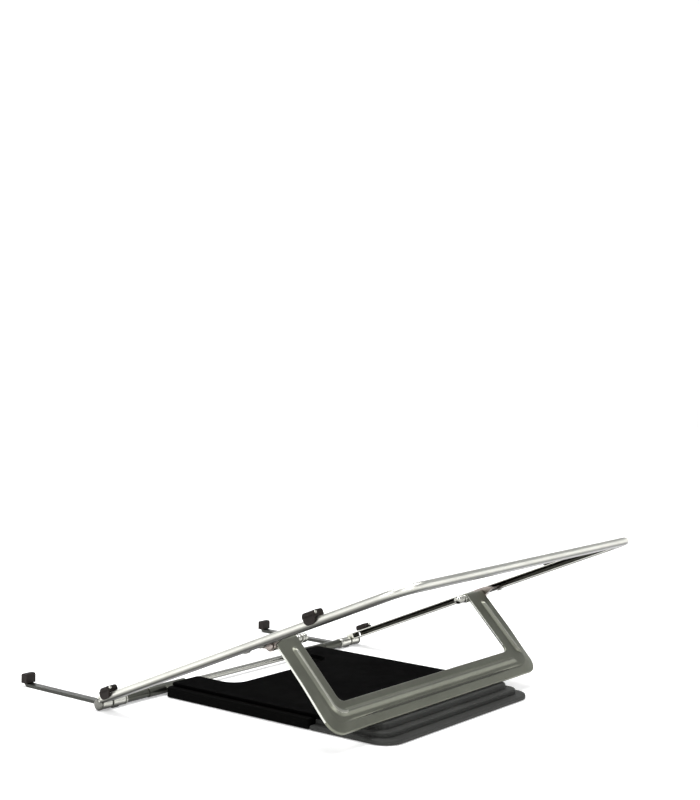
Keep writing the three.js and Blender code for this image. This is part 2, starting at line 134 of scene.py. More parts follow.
def metal(name, tone, roughness, grain=(1, 1, 1), grain_scale=2600, spread=0.08, relief=0.12):
    """Satin metal: cloudy tone, uneven gloss, a fine grain and a few rubbed spots."""
    material, shader = new_material(name, tone, metallic=1.0, roughness=roughness)
    links = material.node_tree.links
    cloud = noise(material, scale=38, detail=5)
    fine = noise(material, scale=grain_scale, detail=3, stretch=grain)
    rubbed = noise(material, scale=210, detail=8, roughness=0.7)
    links.new(tint(material, cloud, shaded(tone, 0.9), shaded(tone, 1.06)), shader.inputs["Base Color"])
    base = span(material, fine, roughness - spread / 2, roughness + spread / 2)
    worn = span(material, rubbed, 0.0, spread, start=0.52, end=0.75)
    total = material.node_tree.nodes.new("ShaderNodeMath")
    total.operation = "ADD"
    links.new(base, total.inputs[0])
    links.new(worn, total.inputs[1])
    links.new(total.outputs["Value"], shader.inputs["Roughness"])
    bump(material, shader, [(fine, relief, 0.04 * MM), (cloud, 0.05, 0.4 * MM)])
    return material


def paint_underside_shade(material, stops):
    """Paints shade into a metal's colour by how far its surface faces up on the open stand: the underside is
    painted dark.

    Each stop is the height of the surface's normal, from -1 down to 1 up, and the share of the tone.
    """
    nodes, links = material.node_tree.nodes, material.node_tree.links
    shader = nodes["Principled BSDF"]
    coordinates = nodes.new("ShaderNodeTexCoord")
    split = nodes.new("ShaderNodeSeparateXYZ")
    ramp = nodes.new("ShaderNodeValToRGB")
    blend = nodes.new("ShaderNodeMix")
    blend.data_type = "RGBA"
    blend.blend_type = "MULTIPLY"
    blend.inputs["Factor"].default_value = 1.0
    links.new(coordinates.outputs["Normal"], split.inputs["Vector"])
    facing = span(material, split.outputs["Z"], 0.0, 1.0, start=-1.0, end=1.0)
    links.new(facing, ramp.inputs["Fac"])
    elements = ramp.color_ramp.elements
    while len(elements) < len(stops):
        elements.new(0.5)
    for element, (up, amount) in zip(elements, stops):
        element.position = (up + 1) / 2
        element.color = (amount, amount, amount, 1)
    plain = shader.inputs["Base Color"].links[0].from_socket
    links.new(plain, blend.inputs["A"])
    links.new(ramp.outputs["Color"], blend.inputs["B"])
    links.new(blend.outputs["Result"], shader.inputs["Base Color"])
    return material


def plastic(name, tone, roughness, texture_scale, relief, smudge, gloss):
    """Moulded matte plastic or rubber: a spark-eroded texture with faint handling marks."""
    material, shader = new_material(name, tone, metallic=0.0, roughness=roughness)
    links = material.node_tree.links
    pits = noise(material, scale=texture_scale, detail=3)
    marks = noise(material, scale=55, detail=7, roughness=0.65)
    links.new(tint(material, marks, shaded(tone, 0.82), shaded(tone, 1.3)), shader.inputs["Base Color"])
    uneven = span(material, marks, roughness - smudge, roughness + smudge / 2, start=0.35, end=0.65)
    links.new(uneven, shader.inputs["Roughness"])
    shader.inputs["Specular IOR Level"].default_value = gloss
    bump(material, shader, [(pits, relief, 0.06 * MM)])
    return material


# Stops for the painted shade: undersides are painted dark, and in the first set the flat top is painted
# darker too, to dim its highlight.
RIM_SHADE_STOPS = ((-1.0, 0.04), (-0.55, 0.09), (-0.2, 0.34), (0.12, 0.85), (0.45, 1.0), (0.8, 0.9), (1.0, 0.5))
SOFT_SHADE_STOPS = ((-1.0, 0.16), (-0.5, 0.24), (0.0, 0.55), (0.5, 1.0), (1.0, 0.9))
ROLLED = {"grain": (1, 0.2, 0.2), "grain_scale": 2400, "spread": 0.1, "relief": 0.2}
LATHED = {"grain": (5, 1, 1), "grain_scale": 1500, "spread": 0.06}
BRUSHED = {"grain": (4, 1, 1), "grain_scale": 1500}

# The rim's colour carries painted shade on its underside and a dimmed top.
rim_metal = paint_underside_shade(metal("rim_aluminium", (0.9, 0.9, 0.825), 0.32, grain_scale=3200), RIM_SHADE_STOPS)
# Dark lining of the rail's channel: painted shade inside the channel.
channel_shade_metal = metal("channel_inside_shade", (0.09, 0.088, 0.074), 0.42)
bail_metal = metal("pressed_plate", (0.198, 0.204, 0.165), 0.4, **ROLLED)
# Dark strip along the foot bar's crease: painted shade in the fold.
crease_shade_metal = metal("plate_crease_shade", (0.07, 0.072, 0.06), 0.5)
# Lighter copies of the plate on the bead: painted highlight, faint on the shoulders and strong on the crest.
shoulder_lit_metal = metal("bead_shoulder_lit", (0.218, 0.223, 0.186), 0.38, **ROLLED)
crest_highlight_metal = metal("bead_crest_highlight", (0.46, 0.465, 0.405), 0.36, **ROLLED)
# Lighter faces on the arms' cut edges: painted highlight.
edge_highlight_metal = metal("edge_highlight", (0.6, 0.61, 0.56), 0.25)
# Painted shade on the undersides of these metals, softer than on the rim.
turned_metal = paint_underside_shade(metal("turned_steel", (0.68, 0.68, 0.62), 0.24, **LATHED), SOFT_SHADE_STOPS)
sleeve_metal = paint_underside_shade(metal("sleeve_metal", (0.13, 0.133, 0.112), 0.34, **BRUSHED), SOFT_SHADE_STOPS)
cap_metal = paint_underside_shade(metal("cap_metal", (0.29, 0.29, 0.265), 0.28, **LATHED), SOFT_SHADE_STOPS)
hook_metal = paint_underside_shade(metal("hook_strip", (0.1, 0.102, 0.092), 0.34), SOFT_SHADE_STOPS)
warm_metal = paint_underside_shade(metal("bracket_metal", (0.62, 0.545, 0.505), 0.3), SOFT_SHADE_STOPS)
# Near-black plastic, painted darker still: painted shade that a laptop on the stand would cast.
deck_black_and_shade = plastic("deck_black_and_shade", (0.0008, 0.0008, 0.0008), 0.82, 1400, relief=0.3, smudge=0.1, gloss=0.008)
side_black = plastic("side_black", (0.002, 0.002, 0.0019), 0.78, 1600, relief=0.3, smudge=0.1, gloss=0.015)
step_grey = plastic("step_grey", (0.026, 0.0265, 0.0245), 0.62, 1600, relief=0.3, smudge=0.12, gloss=0.18)
soft_rubber = plastic("soft_rubber", (0.0105, 0.0072, 0.006), 0.62, 2200, relief=0.5, smudge=0.08, gloss=0.2)
foot_rubber = plastic("foot_rubber", (0.01, 0.01, 0.01), 0.75, 1800, relief=0.6, smudge=0.06, gloss=0.2)


# ---- shapes ----


def rounded(corners, step=5.0):
    """A closed outline through corners (x, y, radius), each an arc with a point every few degrees."""
    points = []
    count = len(corners)
    for index, (x, y, radius) in enumerate(corners):
        corner = Vector((x, y))
        back = (Vector(corners[index - 1][:2]) - corner).normalized()
        ahead = (Vector(corners[(index + 1) % count][:2]) - corner).normalized()
        half = back.angle(ahead) / 2
        centre = corner + (back + ahead).normalized() * (radius / math.sin(half))
        first = corner + back * (radius / math.tan(half)) - centre
        turn = math.pi - 2 * half
        if back.cross(ahead) > 0:
            turn = -turn
        steps = max(2, round(abs(math.degrees(turn)) / step))
        for k in range(steps + 1):
            points.append(centre + Matrix.Rotation(turn * k / steps, 2) @ first)
    return points


def rectangle(half_width, front, rear, front_radius, rear_radius):
    return [
        (-half_width, front, front_radius),
        (half_width, front, front_radius),
        (half_width, rear, rear_radius),
        (-half_width, rear, rear_radius),
    ]


# Swaps axes, so that the height of a mesh that was drawn along Z runs along X or Y instead.
LAID_ALONG = {
    "X": Matrix(((0, 0, 1, 0), (1, 0, 0, 0), (0, 1, 0, 0), (0, 0, 0, 1))),
    "Y": Matrix(((1, 0, 0, 0), (0, 0, 1, 0), (0, 1, 0, 0), (0, 0, 0, 1))),
}


def prism(outline, low, high, top_rim, bottom_rim, segments=4, axis="Z"):
    """An outline between two heights along the axis, with rounded rims.

    The outline is in X and Y, or in Y and Z for axis X, or in X and Z for axis Y.
    """
    bm = bmesh.new()
    verts = [bm.verts.new((p.x, p.y, low)) for p in outline]
    floor = bm.faces.new(verts)
    grown = bmesh.ops.extrude_face_region(bm, geom=[floor])
    for vert in (g for g in grown["geom"] if isinstance(g, bmesh.types.BMVert)):
        vert.co.z = high
    bmesh.ops.recalc_face_normals(bm, faces=bm.faces)
    for height, rim in ((high, top_rim), (low, bottom_rim)):
        edges = [e for e in bm.edges if all(abs(v.co.z - height) < 1e-6 for v in e.verts)]
        if rim > 0:
            bmesh.ops.bevel(bm, geom=edges, offset=rim, segments=segments, profile=0.5, affect="EDGES")
    if axis in LAID_ALONG:
        bmesh.ops.transform(bm, matrix=LAID_ALONG[axis], verts=bm.verts)
    return bm


def join_rings(bm, ring, after):
    """Faces between two closed rings of points. A ring of one point closes the shape to a tip."""
    count = max(len(ring), len(after))
    for k in range(count):
        n = (k + 1) % count
        corners = [ring[k % len(ring)], ring[n % len(ring)], after[n % len(after)], after[k % len(after)]]
        bm.faces.new(list(dict.fromkeys(corners)))


def turned(profile, centre=(0, 0), closed=False, axis="X", count=56):
    """Turns (along, radius) points round an axis. A closed profile makes a tube."""
    bm = bmesh.new()
    rings = []
    for along, radius in profile:
        ring = []
        for k in range(count if radius > 1e-6 else 1):
            angle = 2 * math.pi * k / count
            a, b = radius * math.cos(angle), radius * math.sin(angle)
            if axis == "X":
                ring.append(bm.verts.new((along, centre[0] + a, centre[1] + b)))
            else:
                ring.append(bm.verts.new((centre[0] + a, centre[1] + b, along)))
        rings.append(ring)
    pairs = list(zip(rings, rings[1:] + rings[:1]))
    for ring, after in pairs if closed else pairs[:-1]:
        join_rings(bm, ring, after)
    return bm


def tube(left, right, radius, bore, chamfer=0.35, centre=(0, 0)):
    """A turned sleeve with softened edges."""
    soft = 0.3 * chamfer
    profile = [
        (left, bore),
        (left, radius - chamfer),
        (left + soft, radius - soft),
        (left + chamfer, radius),
        (right - chamfer, radius),
        (right - soft, radius - soft),
        (right, radius - chamfer),
        (right, bore),
    ]
    return turned(profile, centre, closed=True)


def dome(base, tip, radius, steps=9):
    """The profile of a dome that ends on the axis."""
    profile = []
    for k in range(steps + 1):
        angle = math.pi / 2 * k / steps
        reach = 0.0 if k == steps else radius * math.cos(angle)
        profile.append((base + (tip - base) * math.sin(angle), reach))
    return profile


def strip(path, thickness):
    """The outline of a bent strip round its centre line."""
    left, right = [], []
    for index, point in enumerate(path):
        before = path[max(index - 1, 0)]
        after = path[min(index + 1, len(path) - 1)]
        along = (after - before).normalized()
        across = Vector((-along.y, along.x)) * thickness / 2
        left.append(point + across)
        right.append(point - across)
    return left + right[::-1]


def arc(centre, radius, start, end, steps=8):
    """Points on a circle between two angles in degrees."""
    points = []
    for k in range(steps + 1):
        angle = math.radians(start + (end - start) * k / steps)
        points.append(Vector((centre[0] + radius * math.cos(angle), centre[1] + radius * math.sin(angle))))
    return points


def merge(*parts):
    whole = bmesh.new()
    for part in parts:
        scratch = bpy.data.meshes.new("scratch")
        part.to_mesh(scratch)
        part.free()
        whole.from_mesh(scratch)
        bpy.data.meshes.remove(scratch)
    return whole


def link(made):
    bpy.context.scene.collection.objects.link(made)
    return made


def new_object(name, bm, at, *looks):
    """A smooth-shaded object from a mesh in millimetres, which it uses up."""
    bmesh.ops.recalc_face_normals(bm, faces=bm.faces)
    mesh = bpy.data.meshes.new(name)
    bm.to_mesh(mesh)
    bm.free()
    mesh.transform(at)
    if at.determinant() < 0:
        mesh.flip_normals()
    mesh.shade_smooth()
    for look in looks:
        mesh.materials.append(look)
    return link(bpy.data.objects.new(name, mesh))


def piece(name, bm, at, body, nodes, slot, *looks, sharp=34):
    """Makes an object from a mesh in its body's frame, ties it to the body and hides the CAD nodes it
    replaces.
    """
    made = new_object(name, bm, at, *looks)
    made.data.set_sharp_from_angle(angle=math.radians(sharp))
    weighted = made.modifiers.new("weighted", "WEIGHTED_NORMAL")
    weighted.keep_sharp = True
    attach(made, body)
    if nodes:
        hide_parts(*nodes)


def pair(name, bm, at, body, nodes, slot, *looks):
    """The right-hand piece and its mirror image. A body or node name may hold {side}."""
    for side, place in (("right", at), ("left", MIRROR @ at)):
        taken = [node.format(side=side) for node in nodes]
        piece(f"{name}_{side}", bm.copy(), place, body.format(side=side), taken, slot, *looks)
    bm.free()


# ---- base ----

HALF_WIDTH, DECK_HALF_WIDTH = 72.0, 67.8
FRONT, SPLIT, DECK_REAR = 6.0, 113.0, 141.7
UNDERSIDE, BASE_TOP, DECK_TOP = 0.4, 6.1, 8.0
NOTCH_HALF_WIDTH, NOTCH_REAR, NOTCH_RADIUS = 45.0, 36.0, 10.0
# (half width, front, rear, corner radius, top) from the lowest step to the highest
STEPS = (
    (HALF_WIDTH, SPLIT + GAP, 166.9, 12.0, 2.8),
    (67.2, SPLIT + GAP + 0.2, 160.8, 7.5, 5.6),
    (61.8, DECK_REAR + GAP, 155.9, 4.5, 8.9),
)
FOOT_RADIUS, FOOT_HEIGHT = 7.0, 1.4
FOOT_PLACES = {"front": (58, 40), "rear": (54, 148)}


def notched(half_width, rear, rear_radius):
    """A plate outline whose front edge has the round-cornered notch under the hinge bar."""
    front_radius, notch_edge_radius = 3, 1.5
    return rounded([
        (-half_width, FRONT, front_radius),
        (-NOTCH_HALF_WIDTH, FRONT, notch_edge_radius),
        (-NOTCH_HALF_WIDTH, NOTCH_REAR, NOTCH_RADIUS),
        (NOTCH_HALF_WIDTH, NOTCH_REAR, NOTCH_RADIUS),
        (NOTCH_HALF_WIDTH, FRONT, notch_edge_radius),
        (half_width, FRONT, front_radius),
        (half_width, rear, rear_radius),
        (-half_width, rear, rear_radius),
    ])


def step(index):
    """One step. Each starts 1 mm higher than the one outside it, so that no undersides coincide."""
    half_width, front, rear, radius, top = STEPS[index]
    outline = rounded(rectangle(half_width, front, rear, 1.0, radius), step=3)
    return prism(outline, UNDERSIDE + index, top, top_rim=0.8, bottom_rim=0.4)


def foot(x, y):
    """A flat rubber foot with a rounded lower edge."""
    profile = [
        (0.0, 0.0),
        (0.0, FOOT_RADIUS - 1.8),
        (0.08, FOOT_RADIUS - 0.7),
        (0.4, FOOT_RADIUS - 0.1),
        (0.7, FOOT_RADIUS),
        (FOOT_HEIGHT, FOOT_RADIUS),
        (FOOT_HEIGHT, 0.0),
    ]
    return turned(profile, (x, y), axis="Z", count=64)


front_plate = prism(notched(HALF_WIDTH, SPLIT, 1.2), UNDERSIDE, BASE_TOP, top_rim=0.9, bottom_rim=0.4)
piece("front_plate", front_plate, BASE_AT, "base", ["base_plate"], "side_plastic", side_black)
rear_steps = merge(*(step(index) for index in range(len(STEPS))))
piece("rear_steps", rear_steps, BASE_AT, "base", ["rear_step_block"], "step_plastic", step_grey)
deck_outline = notched(DECK_HALF_WIDTH, DECK_REAR, 1.5)
deck = prism(deck_outline, BASE_TOP + GAP, DECK_TOP, top_rim=0.7, bottom_rim=0.3)
piece("deck_plate", deck, BASE_AT, "base", ["top_deck"], "deck_plastic", deck_black_and_shade)
for place, (x, y) in FOOT_PLACES.items():
    pair(f"{place}_foot", foot(x, y), BASE_AT, "base", [f"base_foot_{place}_{{side}}"], "rubber", foot_rubber)

# ---- hinge along the front ----

AXIS_Z = HINGE.z / MM
BAR = (0.0, AXIS_Z)
BAR_RADIUS = 1.9
BORE = BAR_RADIUS + GAP
EYE_RADIUS = 3.1  # of the rail's and the hooks' eyes round the bar
LEAF_LEFT, LEAF_RIGHT, LEAF_REAR = 50.0, 68.0, 26.0
LEAF_SHEET = 1.2
LEAF_WRAP = 2.5  # radius of the leaf's centre line round the bar
KNUCKLE_RIGHT, KNUCKLE_RADIUS = 80.9, 3.0
SPACER_LEFT, SPACER_RIGHT, SPACER_RADIUS = 81.4, 98.4, 2.8
RING_LEFT, RING_RIGHT, RING_RADIUS = 98.7, 99.9, 3.3
CAP_LEFT, CAP_TIP, CAP_RADIUS = 117.7, 119.9, 3.3
BAR_END = CAP_TIP - 1 - GAP


def leaf():
    """A flat leaf that climbs on to the knuckle, which turns on the bar."""
    wrap = arc(BAR, LEAF_WRAP, 128, 92, 4)
    tail = [Vector((y, AXIS_Z + rise)) for y, rise in ((2.4, 1.3), (4.0, 0.2), (6.0, 0.0), (LEAF_REAR, 0.0))]
    outline = strip(wrap + tail, LEAF_SHEET)
    flat = prism(outline, LEAF_LEFT, LEAF_RIGHT, top_rim=0.25, bottom_rim=0.25, segments=2, axis="X")
    return merge(flat, tube(LEAF_LEFT, KNUCKLE_RIGHT, KNUCKLE_RADIUS, BORE, centre=BAR))


def front_bar():
    return turned([(-BAR_END, 0.0), (-BAR_END, BAR_RADIUS), (BAR_END, BAR_RADIUS), (BAR_END, 0.0)], BAR)


def bar_cap():
    """A cup over the bar's end with a rounded rim and a shallow dome."""
    seat, shoulder = CAP_TIP - 1.0, CAP_TIP - 0.9
    profile = [
        (seat, 0.0),
        (seat, BORE),
        (CAP_LEFT, BORE),
        (CAP_LEFT, CAP_RADIUS - 0.35),
        (CAP_LEFT + 0.1, CAP_RADIUS - 0.1),
        (CAP_LEFT + 0.3, CAP_RADIUS),
        (shoulder - 0.3, CAP_RADIUS),
        (shoulder, CAP_RADIUS - 0.15),
    ]
    return turned(profile + dome(shoulder, CAP_TIP, CAP_RADIUS - 0.3)[1:], BAR)


piece("front_bar", front_bar(), BASE_AT, "base", ["hinge_bar"], "steel", turned_metal)
pair("leaf", leaf(), BASE_AT, "base", ["hinge_leaf_{side}"], "steel", sleeve_metal)
pair("end_cap", bar_cap(), BASE_AT, "base", ["bar_cap_{side}"], "steel", cap_metal)
spacer = tube(SPACER_LEFT, SPACER_RIGHT, SPACER_RADIUS, BORE, centre=BAR)
pair("spacer", spacer, BASE_AT, "base", ["bar_sleeve_{side}"], "satin_aluminium", sleeve_metal)
bar_ring = tube(RING_LEFT, RING_RIGHT, RING_RADIUS, BORE, chamfer=0.4, centre=BAR)
pair("bar_ring", bar_ring, BASE_AT, "base", ["bar_washer_{side}"], "steel", turned_metal)

# ---- tray ----

RAIL_OUTER, RAIL_WIDTH, RAIL_END = 120.0, 9.5, 227.6
RAIL_INNER = RAIL_OUTER - RAIL_WIDTH
RAIL_FRONT = 4.2  # where the open channel begins, behind the knuckle
RAIL_CORNER = 18.0
RAIL_Z = 2.2  # middle of the rail above the hinge axis
HALF_HEIGHT = 2.2
RAIL_TOP, RAIL_BOTTOM = RAIL_Z + HALF_HEIGHT, RAIL_Z - HALF_HEIGHT
WALL = 0.8
SIDE_STEPS, CORNER_STEPS = 14, 60
PAD_STATIONS = {"front": 9.8, "rear": 166.6}
PAD_SEAT = RAIL_TOP + GAP
PAD_TOP = PAD_SEAT + 3.4
PAD_INNER, PAD_OUTER = RAIL_OUTER - 6.6, RAIL_OUTER + 1.3
PAD_HALF_LENGTH = 4.0
STUD_RADIUS = 0.9


def channel_section():
    """(distance in from the outer edge, height) round the channel, whose open side faces inwards.

    The second result holds the numbers of the section's sides that line the channel.
    """
    half_turn = [math.radians(90 - 9 * k) for k in range(21)]
    bow = [(HALF_HEIGHT * (1 - math.cos(a)), HALF_HEIGHT * math.sin(a)) for a in half_turn]
    lip, thin = RAIL_WIDTH, HALF_HEIGHT - WALL
    lower = [
        (lip - 0.3, -HALF_HEIGHT),
        (lip - 0.08, 0.08 - HALF_HEIGHT),
        (lip, 0.3 - HALF_HEIGHT),
        (lip, -0.3 - thin),
        (lip - 0.08, -0.08 - thin),
        (lip - 0.3, -thin),
    ]
    inside = [(1.8, -thin), (1.1, -1.1), (WALL, -0.6), (WALL, 0.6), (1.1, 1.1), (1.8, thin)]
    upper = [(d, -z) for d, z in reversed(lower)]
    first = len(bow) + len(lower) - 1
    return bow + lower + inside + upper, range(first, first + len(inside) + 1)


def rail_path():
    """(point on the outer edge, outward direction) from the right end round to the left end."""
    turn = RAIL_END - RAIL_CORNER
    side = [RAIL_FRONT + (turn - RAIL_FRONT) * k / SIDE_STEPS for k in range(SIDE_STEPS)]
    path = [((RAIL_OUTER, y), (1.0, 0.0)) for y in side]
    for sign, start in ((1, 0), (-1, 90)):
        for k in range(CORNER_STEPS + 1):
            angle = math.radians(start + 90 * k / CORNER_STEPS)
            out = (math.cos(angle), math.sin(angle))
            x = sign * (RAIL_OUTER - RAIL_CORNER) + RAIL_CORNER * out[0]
            path.append(((x, turn + RAIL_CORNER * out[1]), out))
    path += [((-RAIL_OUTER, y), (-1.0, 0.0)) for y in reversed(side)]
    return path


def rail_end(left, right):
    """The rail's front end, which closes down on the knuckle and leaves its bore free."""
    crown = [(-1.2, RAIL_TOP - 1.4), (-0.9, RAIL_TOP - 0.5), (0.0, RAIL_TOP - 0.05), (0.8, RAIL_TOP)]
    back = [(RAIL_FRONT + 0.4, RAIL_TOP), (RAIL_FRONT + 0.4, RAIL_BOTTOM)]
    outline = [Vector(point) for point in crown + back] + arc((0, 0), 2.6, 0, 117, 12)
    return prism(outline, left, right, top_rim=0, bottom_rim=0, axis="X")


def rim():
    bm = bmesh.new()
    section, lining = channel_section()
    rings = []
    for (x, y), (ox, oy) in rail_path():
        rings.append([bm.verts.new((x - ox * d, y - oy * d, z + RAIL_Z)) for d, z in section])
    for ring, after in zip(rings, rings[1:]):
        join_rings(bm, ring, after)
    # Faces that line the channel take the second material, which is painted shade.
    for index, face in enumerate(bm.faces):
        if index % len(section) in lining:
            face.material_index = 1
    bm.faces.new(rings[0])
    bm.faces.new(rings[-1])
    ends = []
    for sign in (1, -1):
        left, right = sorted((sign * RAIL_INNER, sign * (CAP_LEFT - GAP)))
        ends.append(tube(left, right, EYE_RADIUS, BORE, chamfer=0.3))
        ends.append(rail_end(left, right))
    return merge(bm, *ends)


def grip_pad(station):
    """A soft block with a round-ended skirt over the rail's outer edge."""
    section = rounded([
        (PAD_INNER, PAD_SEAT, 0.6),
        (PAD_INNER, PAD_TOP, 1.6),
        (PAD_OUTER, PAD_TOP, 2.4),
        (PAD_OUTER, PAD_SEAT, 0.7),
    ], step=12)
    front, rear = station - PAD_HALF_LENGTH, station + PAD_HALF_LENGTH
    block = prism(section, front, rear, top_rim=1.3, bottom_rim=1.3, segments=6, axis="Y")
    skirt_top, skirt_bottom = PAD_SEAT + 1.6, PAD_SEAT - 3.4
    outline = rounded([
        (front + 0.1, skirt_top, 0.8),
        (front + 0.4, skirt_bottom, 2.9),
        (rear - 0.4, skirt_bottom, 2.9),
        (rear - 0.1, skirt_top, 0.8),
    ], step=9)
    skirt = prism(outline, PAD_OUTER - 1.05, PAD_OUTER, top_rim=0.45, bottom_rim=0.1, axis="X")
    return merge(block, skirt)


def pad_stud(station):
    """A small bright stud in the upper outer corner of the pad's rear side."""
    base, tip = 2.1, 2.5
    profile = [(0.0, 0.0), (0.0, STUD_RADIUS), (base, STUD_RADIUS)] + dome(base, tip, STUD_RADIUS)[1:]
    bm = turned(profile, axis="Z", count=32)
    corner = Matrix.Translation((RAIL_OUTER - 0.6, station + PAD_HALF_LENGTH / 2, PAD_TOP - 1.3))
    bmesh.ops.transform(bm, matrix=corner @ Matrix.Rotation(-math.pi / 2, 4, "X"), verts=bm.verts)
    return bm


piece("rim", rim(), TRAY_AT, "tray", ["tray_frame"], "satin_aluminium", rim_metal, channel_shade_metal)
for place, station in PAD_STATIONS.items():
    taken = [f"grip_pad_{place}_{{side}}"]
    pair(f"{place}_pad", grip_pad(station), TRAY_AT, "tray", taken, "rubber", soft_rubber)
    pair(f"{place}_pad_stud", pad_stud(station), TRAY_AT, "tray", [], "steel", turned_metal)

# ---- pivots between the tray and the leg ----

ARM_INNER, ARM_OUTER = 82.2, 100.4
PIN_RADIUS = 1.5
FRICTION_RADII = (2.5, 2.1, 2.5)
FRICTION_WIDTH, FRICTION_BORE = 1.8, PIN_RADIUS + GAP
FRICTION_PITCH = FRICTION_WIDTH + GAP
STACK_END = ARM_INNER - len(FRICTION_RADII) * FRICTION_PITCH
NUT_RADIUS, NUT_LENGTH, NUT_BORE_DEPTH = 2.5, 3.2, 1.8
EAR_RIGHT = ARM_OUTER + 2.1  # outer face of the bracket that carries the pin
PIN_HEAD_RADIUS = 2.5
RIVET_X, RIVET_OFFSET = 114.5, 5.5
RIVET_RADIUS, RIVET_HEAD_RADIUS = 1.2, 2.2
FLANGE_TOP = RAIL_BOTTOM + WALL + GAP + 1.0  # of the bracket's flange inside the channel


def friction_ring(index):
    right = ARM_INNER - GAP - FRICTION_PITCH * index
    left = right - FRICTION_WIDTH
    return tube(left, right, FRICTION_RADII[index], FRICTION_BORE, chamfer=0.45, centre=PIN_AT)


def cap_nut():
    """A round nut with a blind bore and a domed end that points inwards."""
    profile = [
        (STACK_END - NUT_BORE_DEPTH, 0.0),
        (STACK_END - NUT_BORE_DEPTH, FRICTION_BORE),
        (STACK_END, FRICTION_BORE),
        (STACK_END, NUT_RADIUS - 0.3),
        (STACK_END - 0.1, NUT_RADIUS - 0.1),
        (STACK_END - 0.4, NUT_RADIUS),
    ]
    return turned(profile + dome(STACK_END - 1.4, STACK_END - NUT_LENGTH, NUT_RADIUS), PIN_AT)


def pin():
    """The pin with its domed head outside the bracket's ear."""
    end = STACK_END - NUT_BORE_DEPTH + GAP
    head, tip = EAR_RIGHT + GAP, EAR_RIGHT + 1.6
    profile = [
        (end, 0.0),
        (end, PIN_RADIUS - 0.3),
        (end + 0.3, PIN_RADIUS),
        (head, PIN_RADIUS),
        (head, PIN_HEAD_RADIUS - 0.3),
        (head + 0.2, PIN_HEAD_RADIUS),
        (head + 0.5, PIN_HEAD_RADIUS),
    ]
    return turned(profile + dome(head + 0.5, tip, PIN_HEAD_RADIUS)[1:], PIN_AT)


def rivet(station):
    """A rivet with a low head under the rail and a higher one on the bracket's flange."""
    low, high = RAIL_BOTTOM - GAP, FLANGE_TOP + GAP
    profile = [
        (low - 0.6, 0.0),
        (low - 0.55, 0.9),
        (low - 0.35, 1.7),
        (low, RIVET_HEAD_RADIUS),
        (low, RIVET_RADIUS),
        (high, RIVET_RADIUS),
        (high, RIVET_HEAD_RADIUS),
        (high + 0.35, 1.8),
        (high + 0.7, 0.8),
        (high + 0.7, 0.0),
    ]
    return turned(profile, (RIVET_X, station), axis="Z", count=32)


for index in range(len(FRICTION_RADII)):
    taken = [f"friction_washer_{index + 1}_{{side}}"]
    pair(f"friction_ring_{index + 1}", friction_ring(index), TRAY_AT, "tray", taken, "steel", turned_metal)
pair("cap_nut", cap_nut(), TRAY_AT, "tray", ["dome_nut_{side}"], "steel", turned_metal)
pair("cross_pin", pin(), TRAY_AT, "tray", ["pivot_pin_{side}"], "steel", warm_metal)
for place, offset in (("front", -RIVET_OFFSET), ("rear", RIVET_OFFSET)):
    taken = [f"bracket_rivet_{place}_{{side}}"]
    pair(f"{place}_rivet", rivet(PIN_AT[0] + offset), TRAY_AT, "tray", taken, "steel", turned_metal)

# ---- leg ----

ARM_WIDTH = ARM_OUTER - ARM_INNER
LENGTH, FOOT_WIDTH = 58.8, 16.8
SHEET, BARREL = 1.6, 2.8  # thickness of the plate and radius of the barrels round the pins
OUTER_RADIUS, INNER_RADIUS = 9.0, 4.0
ARM_STEPS, TURN_STEPS, FOOT_STEPS, ACROSS_STEPS = 70, 18, 230, 72

# Raised bead: its middle is a share of the way from the inner to the outer edge.
BEAD_WIDTH, BEAD_HEIGHT = 5.2, 1.3
RIGHT_BEAD, FOOT_BEAD, LEFT_BEAD = 0.42, 0.38, 0.56
TURN_WIDTH = 19.2  # of the plate across the corner
BEAD_START, BEAD_STOP, BEAD_RISE = 6.0, 52.0, 3.0  # down the arms
FOOT_BEAD_STOP, FOOT_BEAD_RISE = 91.5, 3.5  # on the left, where the foot bar's bead runs out

# Border of the foot bar, which leans back past a crease at this share.
FOLD_AT, LIP_SLOPE = 0.67, 0.16
LIP_START, LIP_RISE = 25.0, 24.0  # down the arms, where the fold begins
CREASE_WIDTH, CREASE_DEPTH = 1.6, 0.5
CREASE_END, CREASE_TAPER = 86.0, 30.0  # where the painted shade along the crease ends and how long its taper is
GROOVE_END, GROOVE_RISE = CREASE_END + 6.0, 10.0  # the groove itself runs a little further

# Share of the bead's height from which it gets a painted highlight: the shoulders a little lighter, the crest
# much lighter.
CREST_FROM, SHOULDER_FROM, FOOT_SHOULDER_FROM = 0.82, 0.5, 0.7

# Shares near each edge where the sheared corner is rounded.
EDGE_SHARES = (0.0, 0.008, 0.02, 0.035)
EDGE_ROUNDING = 0.3
# Material slots of the plate: plain, painted edge highlight, painted crease shade, lit shoulders, painted
# crest highlight.
PLATE, EDGE_HIGHLIGHT, CREASE_SHADE, SHOULDER_LIT, CREST_HIGHLIGHT = range(5)


